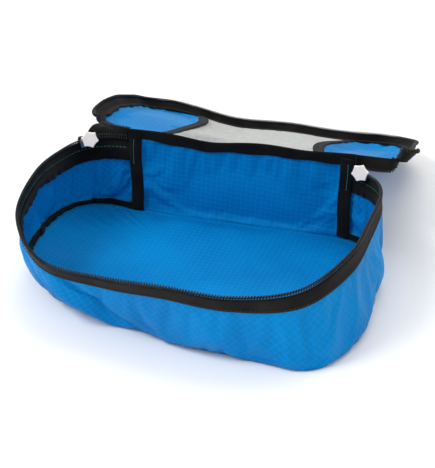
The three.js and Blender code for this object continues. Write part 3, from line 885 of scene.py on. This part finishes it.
# ---- The lid -----------------------------------------------------------------------------
def window_edge(curve, depth_share, offset=0.0):
    rear, middle, front = curve
    t = depth_share
    return rear + (front - rear) * t + (middle - (rear + front) / 2) * 4 * t * (1 - t) + offset


def lid_extent(depth):
    """Leftmost and rightmost x of the lid's outline at a distance from the hinge."""
    def corner(distance, radius):
        if distance >= radius:
            return 0.0
        return radius - math.sqrt(max(0.0, radius ** 2 - (radius - distance) ** 2))

    far = -LID_FRONT - depth
    left = LID_LEFT + max(corner(depth, LID_REAR_LEFT_R), corner(far, LID_FRONT_R))
    right = LID_RIGHT - max(corner(depth, LID_REAR_RIGHT_R), corner(far, LID_FRONT_R))
    right += skew(right, depth)
    return left, right


def lid_patch(name, left_of, right_of):
    """Part of the lid's area between two edges, each a function of the share of its depth."""
    grid = []
    for t in np.linspace(0, 1, LID_ROWS + 1):
        depth = PANEL_INSET + t * (-LID_FRONT - 2 * PANEL_INSET)
        left, right = left_of(t, depth), right_of(t, depth)
        row = []
        for s in np.linspace(0, 1, LID_COLUMNS + 1):
            x = left + (right - left) * s
            bow = LID_BOW * max(0.0, 1 - (x / 86.0) ** 2) * t
            y = -(depth + bow)
            row.append((x, y, lid_surface(x, y)))
        grid.append(row)
    grid = np.array(grid)
    obj = cloth_sheet(name, open_lid(grid), shaded_blue, SKIN)
    layer = obj.data.uv_layers["cloth"].data
    flat = grid.reshape(-1, 3)
    for loop in obj.data.loops:
        layer[loop.index].uv = (flat[loop.vertex_index][0] * MM, flat[loop.vertex_index][1] * MM)
    return obj


def make_lid_panels():
    """The lid's two ripstop panels, one at each side of the net, settled."""
    left = lid_patch(
        "lid_panel_left_cloth",
        lambda t, d: lid_extent(d)[0] + PANEL_INSET,
        lambda t, d: window_edge(WINDOW_LEFT, t, 1.0),
    )
    right = lid_patch(
        "lid_panel_right_cloth",
        lambda t, d: window_edge(WINDOW_RIGHT, t, -1.0),
        lambda t, d: lid_extent(d)[1] - PANEL_INSET,
    )
    for obj in (left, right):
        settle(obj, pins(LID_ROWS + 1, LID_COLUMNS + 1, low_edge=2), PANEL_SLACK, PANEL_REACH)
    return left, right


def make_net():
    """The window's knitted net: a field of small hexagonal holes, as real threads."""
    faces, verts, found = [], [], {}
    pitch = NET_PITCH
    high = pitch * math.sqrt(3) / 2

    def vertex(x, y):
        key = (round(x * 20), round(y * 20))
        if key not in found:
            found[key] = len(verts)
            verts.append((x, y))
        return found[key]

    depth_total = -LID_FRONT
    radius = pitch / math.sqrt(3)
    row = 0
    y = -3.0
    while y > LID_FRONT - 3:
        t = min(1.0, max(0.0, (-y - 3) / (depth_total - 6)))
        low, top = window_edge(WINDOW_LEFT, t, 0.5), window_edge(WINDOW_RIGHT, t, -0.5)
        x = math.ceil(low / pitch) * pitch + (pitch / 2 if row % 2 else 0)
        while x < top:
            ring = []
            for k in range(6):
                a = math.radians(60 * k + 30)
                ring.append(vertex(x + radius * math.cos(a), y + radius * math.sin(a)))
            faces.append(ring)
            x += pitch
        y -= high
        row += 1
    flat = np.array(verts)
    heights = np.array([lid_surface(x, y) for x, y in flat])
    sag = 1.6 * np.sin(np.clip(-flat[:, 1] / depth_total, 0, 1) * math.pi) * np.cos(flat[:, 0] / 45)
    points = open_lid(np.column_stack([flat[:, 0], flat[:, 1], heights + sag]))
    obj = new_object("mesh_window_net", points, faces, net_thread)
    wire = obj.modifiers.new("threads", "WIREFRAME")
    wire.thickness = NET_THREAD * MM
    wire.use_even_offset = False
    return obj


def make_window_binding(name, curve):
    """One of the two curved bindings at the ends of the net."""
    shares = np.linspace(0, 1, 120)
    line = []
    for t in shares:
        depth = t * -LID_FRONT
        x = window_edge(curve, t)
        y = -(depth + LID_BOW * t * max(0.0, 1 - (x / 86.0) ** 2))
        line.append((x, y, lid_surface(x, y)))
    closed = np.array(line)
    centres = open_lid(closed)
    up = open_lid(np.array([[0, 0, -1.0]]))[0] - open_lid(np.array([[0, 0, 0.0]]))[0]
    side, ups = frames_along(centres, up)
    sections = []
    for t in shares:
        width = 9.0 + 0.5 * math.sin(t * 70) + 0.3 * math.sin(t * 151)
        sections.append(rounded_section(width, 1.7, -0.85))
    return sweep(name, centres, side, ups, np.array(sections), binding)


def outline_frame(line):
    """Outward directions, in the lid's plane, along its outline."""
    along = np.gradient(line, axis=0)
    along /= np.linalg.norm(along, axis=1)[:, None]
    return np.column_stack([-along[:, 1], along[:, 0]])


def lid_edge_pieces():
    """The binding round the lid's edge and the stitching on it."""
    line = lid_outline()
    out = outline_frame(line)
    heights = np.array([lid_surface(x, y) for x, y in line])
    count = len(line)
    run = np.arange(count) * 2.0
    sections = []
    for k in range(count):
        wavy = 0.7 * math.sin(run[k] / 3.1) + 0.6 * math.sin(run[k] / 7.7)
        wavy += 0.4 * math.sin(run[k] / 1.9)
        width = BINDING_WIDTH + wavy
        section = rounded_section(width, 2.3, -1.15)
        section[:, 0] -= width / 2 - 0.6
        sections.append(section)
    centres = np.column_stack([line, heights])
    sides = np.column_stack([out, np.zeros(count)])
    ups = np.repeat([[0.0, 0.0, 1.0]], count, axis=0)
    sections = np.array(sections)
    verts = centres[:, None] + sides[:, None] * sections[..., 0:1] + ups[:, None] * sections[..., 1:2]
    across = sections.shape[1]
    faces = []
    for i in range(count - 1):
        a, b = i * across, (i + 1) * across
        for j in range(across):
            k = (j + 1) % across
            faces.append((a + j, a + k, b + k, b + j))
    faces.append(tuple(range(across)))
    faces.append(tuple((count - 1) * across + j for j in range(across))[::-1])
    around = np.linspace(0, 2 * BINDING_WIDTH, across)
    uv = np.stack(np.meshgrid(run, around, indexing="ij"), axis=-1)
    edge = new_object(
        "lid_edge_binding_cloth", open_lid(verts.reshape(-1, 3)), faces, binding, uv.reshape(-1, 2)
    )
    inner = np.column_stack([line - out * 6.3, heights - 1.2])
    seam_out = open_lid(np.array([[0, 0, -1.0]]))[0] - open_lid(np.array([[0, 0, 0.0]]))[0]
    seam = stitches(
        "lid_edge_stitching", open_lid(inner), np.repeat([seam_out], count, axis=0), black_thread
    )
    return edge, seam


def skirt_part(line):
    """Indexes of the lid's outline that the lid's own tape covers."""
    start = np.nonzero((line[:, 0] > 0) & (line[:, 0] >= CORNER_TURN_END - 0.3))[0][0]
    end = np.nonzero((line[:, 0] < 0) & (line[:, 1] < -HELD_DEPTH + 2))[0][-1]
    return slice(start, end)


def skirt_grid(line):
    """The lid's zipper tape on its edge, in the closed lid's frame. Where the left end is held
    by the closed stretch of zipper, the tape leans outwards."""
    out = outline_frame(line)
    heights = np.array([lid_surface(x, y) for x, y in line])
    run = np.arange(len(line)) * 2.0
    left_lean = 38 * smooth(-70, -125, line[:, 0]) * smooth(-110, -30, line[:, 1])
    right_lean = 30 * smooth(80, 118, line[:, 0])
    lean = np.radians(8 + left_lean + right_lean)
    wave = 0.9 * np.sin(run / 19) + 0.5 * np.sin(run / 7)
    rows = []
    for share in np.linspace(0, 1, TAPE_LEVELS + 1):
        away = share * (LID_TAPE_WIDTH * np.sin(lean) + wave) - 1.2
        down = share * LID_TAPE_WIDTH * np.cos(lean) + 0.3
        flat = line + out * away[:, None]
        rows.append(np.column_stack([flat, heights - down]))
    return np.array(rows).transpose(1, 0, 2), out


def make_lid_tape():
    """The lid's zipper tape and coil, from the left slider round to the right rear corner."""
    line = lid_outline()
    grid, out = skirt_grid(line)
    part = skirt_part(line)
    grid, out = grid[part], out[part]
    skirt = cloth_sheet("upper_zipper_tape_cloth", open_lid(grid), tape, TAPE_THICK)
    outs = np.column_stack([out, np.zeros(len(out))])
    turned = open_lid(outs) - open_lid(np.zeros((1, 3)))
    coil = zipper_coil("upper_zipper_coil_teeth", open_lid(grid[:, -1]), turned)
    return skirt, coil


def turn_over(points):
    """Turns the closed lid's rear right corner over to rest, more and more along x."""
    p = np.asarray(points, float)
    turn = np.radians(180 - LID_DROOP) * smooth(CORNER_TURN_START, CORNER_TURN_END, p[..., 0])
    c, s = np.cos(turn), np.sin(turn)
    return np.stack(
        [p[..., 0], HINGE_Y + p[..., 1] * c - p[..., 2] * s, HINGE_Z + p[..., 1] * s + p[..., 2] * c],
        axis=-1,
    )


def make_corner_tape():
    """The stretch of the lid's tape that hangs at the rear right corner and turns over into
    the part that stands on the open lid."""
    line = lid_outline()
    last = np.nonzero((line[:, 0] > 0) & (line[:, 1] < -18))[0][0]
    straight = np.array([[x, 0.0] for x in np.arange(WALL_END, line[0, 0] - 1, 2.0)])
    line = np.vstack([straight, line[:last]])
    out = outline_frame(line)
    run = np.arange(len(line)) * 2.0
    rows = []
    for share in np.linspace(0, 1, 9):
        flare = 5.0 * smooth(CORNER_TURN_START, CORNER_TURN_END, line[:, 0])
        away = 2.6 - flare * 0.3 + share * (0.8 + flare + 0.7 * np.sin(run / 6))
        down = 0.5 + share * (CORNER_TAPE_WIDTH - 0.6 * flare + 0.5 * np.sin(run / 9))
        rows.append(np.column_stack([line + out * away[:, None], -down]))
    closed = np.array(rows).transpose(1, 0, 2)
    outs = np.column_stack([out, np.zeros(len(out))])
    band = cloth_sheet("upper_tape_rear_right_cloth", turn_over(closed), tape, TAPE_THICK)
    turned = turn_over(closed[:, -1] + outs) - turn_over(closed[:, -1])
    coil = zipper_coil("upper_coil_rear_right_teeth", turn_over(closed[:, -1]), turned)
    return band, coil


def make_held_tape():
    """The stretch of the lid's tape that is still zipped to the tray at the rear left corner:
    it runs up from the chain and folds back to the open lid's edge."""
    outline = lid_outline()
    first = np.nonzero((outline[:, 0] < 0) & (outline[:, 1] < -HELD_DEPTH))[0][-1]
    hinge_end = np.array([[x, 0.0] for x in np.arange(-PANEL_END - 3, outline[-1, 0], -2.0)])
    edge = np.vstack([hinge_end, outline[first:][::-1]])
    heights = np.array([lid_surface(x, y) for x, y in edge])
    top = open_lid(np.column_stack([edge, heights + 0.4]))
    stations = np.linspace(rear_station(top[0, 0]), (REAR_LEFT + 1.85) / len(RIM), len(top))
    line = np.array([rim_point(u) for u in stations])
    outs = np.array([wall_out(u) for u in stations])
    run = np.linspace(0, 1, len(top))
    rows = []
    for share in np.linspace(0, 1, 13):
        foot = line + outs * 1.2 - np.array([0, 0, 0.5])
        row = foot + (top - foot) * share
        row[:, 2] += 4.5 * math.sin(math.pi * share) * run + 0.5 * np.sin(run * 25 + share * 5) * share
        rows.append(row)
    grid = np.array(rows).transpose(1, 0, 2)
    band = cloth_sheet("upper_tape_rear_left_cloth", grid, tape, TAPE_THICK)
    chain = line + outs * 0.2 + np.array([0, 0, 2.8])
    coil = zipper_coil("upper_coil_rear_left_teeth", chain, outs)
    return band, coil


# ---- Sliders and pulls --------------------------------------------------------------------
def pull_outline(across, hollow, points=9):
    """A hexagon with slightly hollowed edges and softened corners."""
    radius = across / 2
    corners = [(radius * math.cos(k * math.pi / 3), radius * math.sin(k * math.pi / 3)) for k in range(6)]
    outline = []
    for k in range(6):
        a, b = np.array(corners[k]), np.array(corners[(k + 1) % 6])
        middle = (a + b) / 2 * hollow
        for t in np.linspace(0.06, 0.94, points):
            outline.append((1 - t) ** 2 * a + 2 * t * (1 - t) * middle + t * t * b)
    return np.array(outline)


def make_pull(side, arc, degrees, z, lean, roll, lift):
    """The pull: a flat six-sided tab that hangs from its slider's bridge and faces forwards."""
    outline = pull_outline(PULL_ACROSS, PULL_HOLLOW)
    half = PULL_THICK / 2 * MM
    bm = bmesh.new()
    front = [bm.verts.new((p[0] * MM, -half, p[1] * MM)) for p in outline]
    back = [bm.verts.new((p[0] * MM, half, p[1] * MM)) for p in outline]
    bm.faces.new(front)
    bm.faces.new(back[::-1])
    for k in range(len(front)):
        j = (k + 1) % len(front)
        bm.faces.new((front[j], front[k], back[k], back[j]))
    bmesh.ops.recalc_face_normals(bm, faces=bm.faces)
    mesh = bpy.data.meshes.new(f"pull_{side}_tab")
    bm.to_mesh(mesh)
    bm.free()
    mesh.materials.append(plastic)
    obj = bpy.data.objects.new(f"pull_{side}_tab", mesh)
    bpy.context.scene.collection.objects.link(obj)
    bevel = obj.modifiers.new("edges", "BEVEL")
    bevel.width = 0.5 * MM
    bevel.segments = 3
    bevel.limit_method = "ANGLE"
    bevel.angle_limit = math.radians(50)
    x, y, _ = arc_point((arc[0], arc[1], arc[2] - BRIDGE_INSET), degrees, z)
    obj.rotation_euler = (math.radians(lean), math.radians(roll), math.radians(degrees - 90) * 0.35)
    obj.location = ((x + 2.4) * MM, (y - 0.6) * MM, (z + BRIDGE_LIFT + lift) * MM)
    return obj


def place(obj, body, nodes=(), slot=None):
    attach(obj, body)
    if body == "lid":
        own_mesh(obj)
    if nodes:
        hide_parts(*nodes)
    return obj


def build_tray():
    """Everything that is sewn to the tray."""
    wall, wall_points = make_wall()
    place(wall, "tray", ["wall_gusset"], "ripstop_blue")
    place(make_bottom(), "tray", ["bottom_panel"], "ripstop_blue")
    place(make_back_panel(), "tray", ["back_panel"], "ripstop_blue")
    place(make_lower_tape(), "tray", ["lower_zipper_tape"], "tape_charcoal")
    stations = around_tray(WALL_END, -WALL_END, WALL_STATIONS)[1:-1]
    over_tape = wall_grid(stations, TAPE_WIDTH - 5, TAPE_WIDTH - 2, 2, -BINDING_INSET)
    over_wall = follow(wall_points[1:-1, ::-1], stations, 0.5, BINDING_WIDTH - 1, 4)
    seam = cloth_sheet(
        "rim_seam_binding_cloth", np.concatenate([over_tape, over_wall], axis=1), binding, BINDING_THICK
    )
    place(seam, "tray", ["rim_seam_binding"], "binding_black")
    base_band = follow(wall_points[1:-1], stations, 2.0, 7.5, 4)
    base_binding = cloth_sheet("base_seam_binding_cloth", base_band, binding, BINDING_THICK)
    place(base_binding, "tray", ["base_seam_binding"], "binding_black")
    line, outs = rim_line(STRIP_OUTER + 0.5, 500, -0.9, -0.4)
    place(zipper_coil("lower_zipper_coil_teeth", line, outs), "tray",
          ["lower_zipper_coil"], "coil_black")
    line, outs = rim_line(SEAM_END, 400, TAPE_WIDTH - 5.0, -0.1)
    place(stitches("rim_stitching_teal", line, -outs, teal), "tray", slot="thread_teal")
    line, outs = rim_line(SEAM_END - 2, 400, TAPE_WIDTH - 2.0, 1.0)
    place(stitches("rim_stitching_black", line, outs, black_thread), "tray", slot="binding_black")
    for side in (-1, 1):
        place(make_strip(side), "tray", [f"end_strip_{SIDE_NAMES[side]}"], "binding_black")
        place(strip_stitches(side), "tray", [f"bartack_{SIDE_NAMES[side]}"], "thread_teal")
    place(make_hinge_binding(), "tray", ["hinge_binding"], "binding_black")


def build_lid():
    """Everything that turns with the lid, and the tape that bends at its rear corners."""
    left, right = make_lid_panels()
    place(left, "lid", ["lid_panel_left"], "ripstop_blue")
    place(right, "lid", ["lid_panel_right"], "ripstop_blue")
    place(make_net(), "lid", ["mesh_window"], "net_grey")
    place(make_window_binding("window_binding_left_cloth", WINDOW_LEFT), "lid",
          ["window_binding_left"], "binding_black")
    place(make_window_binding("window_binding_right_cloth", WINDOW_RIGHT), "lid",
          ["window_binding_right"], "binding_black")
    edge, seam = lid_edge_pieces()
    place(edge, "lid", ["lid_edge_binding"], "binding_black")
    place(seam, "lid", slot="binding_black")
    skirt, coil = make_lid_tape()
    place(skirt, "lid", ["upper_zipper_tape"], "tape_charcoal")
    place(coil, "lid", ["upper_zipper_coil"], "coil_black")
    band, coil = make_corner_tape()
    for obj, node, slot in (
        (band, "upper_tape_rear_right", "tape_charcoal"), (coil, "upper_coil_rear_right", "coil_black"),
    ):
        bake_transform(obj)
        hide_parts(node)
    band, coil = make_held_tape()
    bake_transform(band)
    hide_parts("upper_tape_rear_left")
    place(coil, "tray", ["upper_coil_rear_left"], "coil_black")


def build_sliders():
    """The pulls on the two sliders, and the sliders' metal."""
    for side, arc, degrees, z, hang in (
        ("right", RIGHT_ARC, RIGHT_SLIDER_ANGLE, RIGHT_RIM_Z, RIGHT_PULL),
        ("left", LEFT_ARC, LEFT_SLIDER_ANGLE, LEFT_RIM_Z, LEFT_PULL),
    ):
        pull = make_pull(side, arc, degrees, z, *hang)
        place(pull, f"pull_{side}", [f"pull_tab_{side}"], "pull_plastic")
        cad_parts[f"slider_{side}"].material_slots[0].material = metal


def build_stage():
    """The pale floor, the even surroundings and the lamps."""
    scene = bpy.context.scene
    mesh = bpy.data.meshes.new("floor")
    mesh.from_pydata([(-4, -4, 0), (4, -4, 0), (4, 4, 0), (-4, 4, 0)], [], [(0, 1, 2, 3)])
    paper = Nodes("paper")
    where = paper.add("ShaderNodeTexCoord").outputs["Object"]
    tone = paper.noise(where, 3.0, 2.0)
    pale = paper.mix(tone, (0.93, 0.93, 0.93), (0.97, 0.97, 0.97))
    mesh.materials.append(paper.shade(Base_Color=pale, Roughness=0.9))
    floor = bpy.data.objects.new("floor", mesh)
    floor.location.z = -0.0005
    scene.collection.objects.link(floor)
    world = bpy.data.worlds.new("studio")
    world.use_nodes = True
    sky = world.node_tree.nodes["Background"]
    sky.inputs["Color"].default_value = (1, 1, 1, 1)
    seen = world.node_tree.nodes.new("ShaderNodeLightPath").outputs["Is Camera Ray"]
    strength = world.node_tree.nodes.new("ShaderNodeMapRange")
    strength.inputs["To Min"].default_value = SKY_LIGHT
    strength.inputs["To Max"].default_value = SKY_SEEN
    world.node_tree.links.new(seen, strength.inputs["Value"])
    world.node_tree.links.new(strength.outputs["Result"], sky.inputs["Strength"])
    scene.world = world
    for name, place_at, size, power in LAMPS:
        lamp = bpy.data.lights.new(name, "AREA")
        lamp.size = size
        lamp.energy = power
        obj = bpy.data.objects.new(name, lamp)
        obj.location = place_at
        obj.rotation_euler = (Vector((0, 0.05, 0)) - Vector(place_at)).to_track_quat("-Z", "Y").to_euler()
        scene.collection.objects.link(obj)


def build_camera():
    """The camera that frames the cube as the photo does."""
    azimuth, elevation = math.radians(CAMERA_AZIMUTH), math.radians(CAMERA_ELEVATION)
    level = math.cos(elevation)
    back = Vector((math.sin(azimuth) * level, -math.cos(azimuth) * level, math.sin(elevation)))
    data = bpy.data.cameras.new("camera")
    data.lens = CAMERA_LENS
    data.sensor_width = 36
    camera = bpy.data.objects.new("camera", data)
    camera.location = Vector(CAMERA_TARGET) + back * CAMERA_DISTANCE
    camera.rotation_euler = (-back).to_track_quat("-Z", "Y").to_euler()
    bpy.context.scene.collection.objects.link(camera)
    bpy.context.scene.camera = camera


build_camera()
build_stage()
build_tray()
build_lid()
build_sliders()
bpy.context.scene.view_settings.view_transform = "Standard"
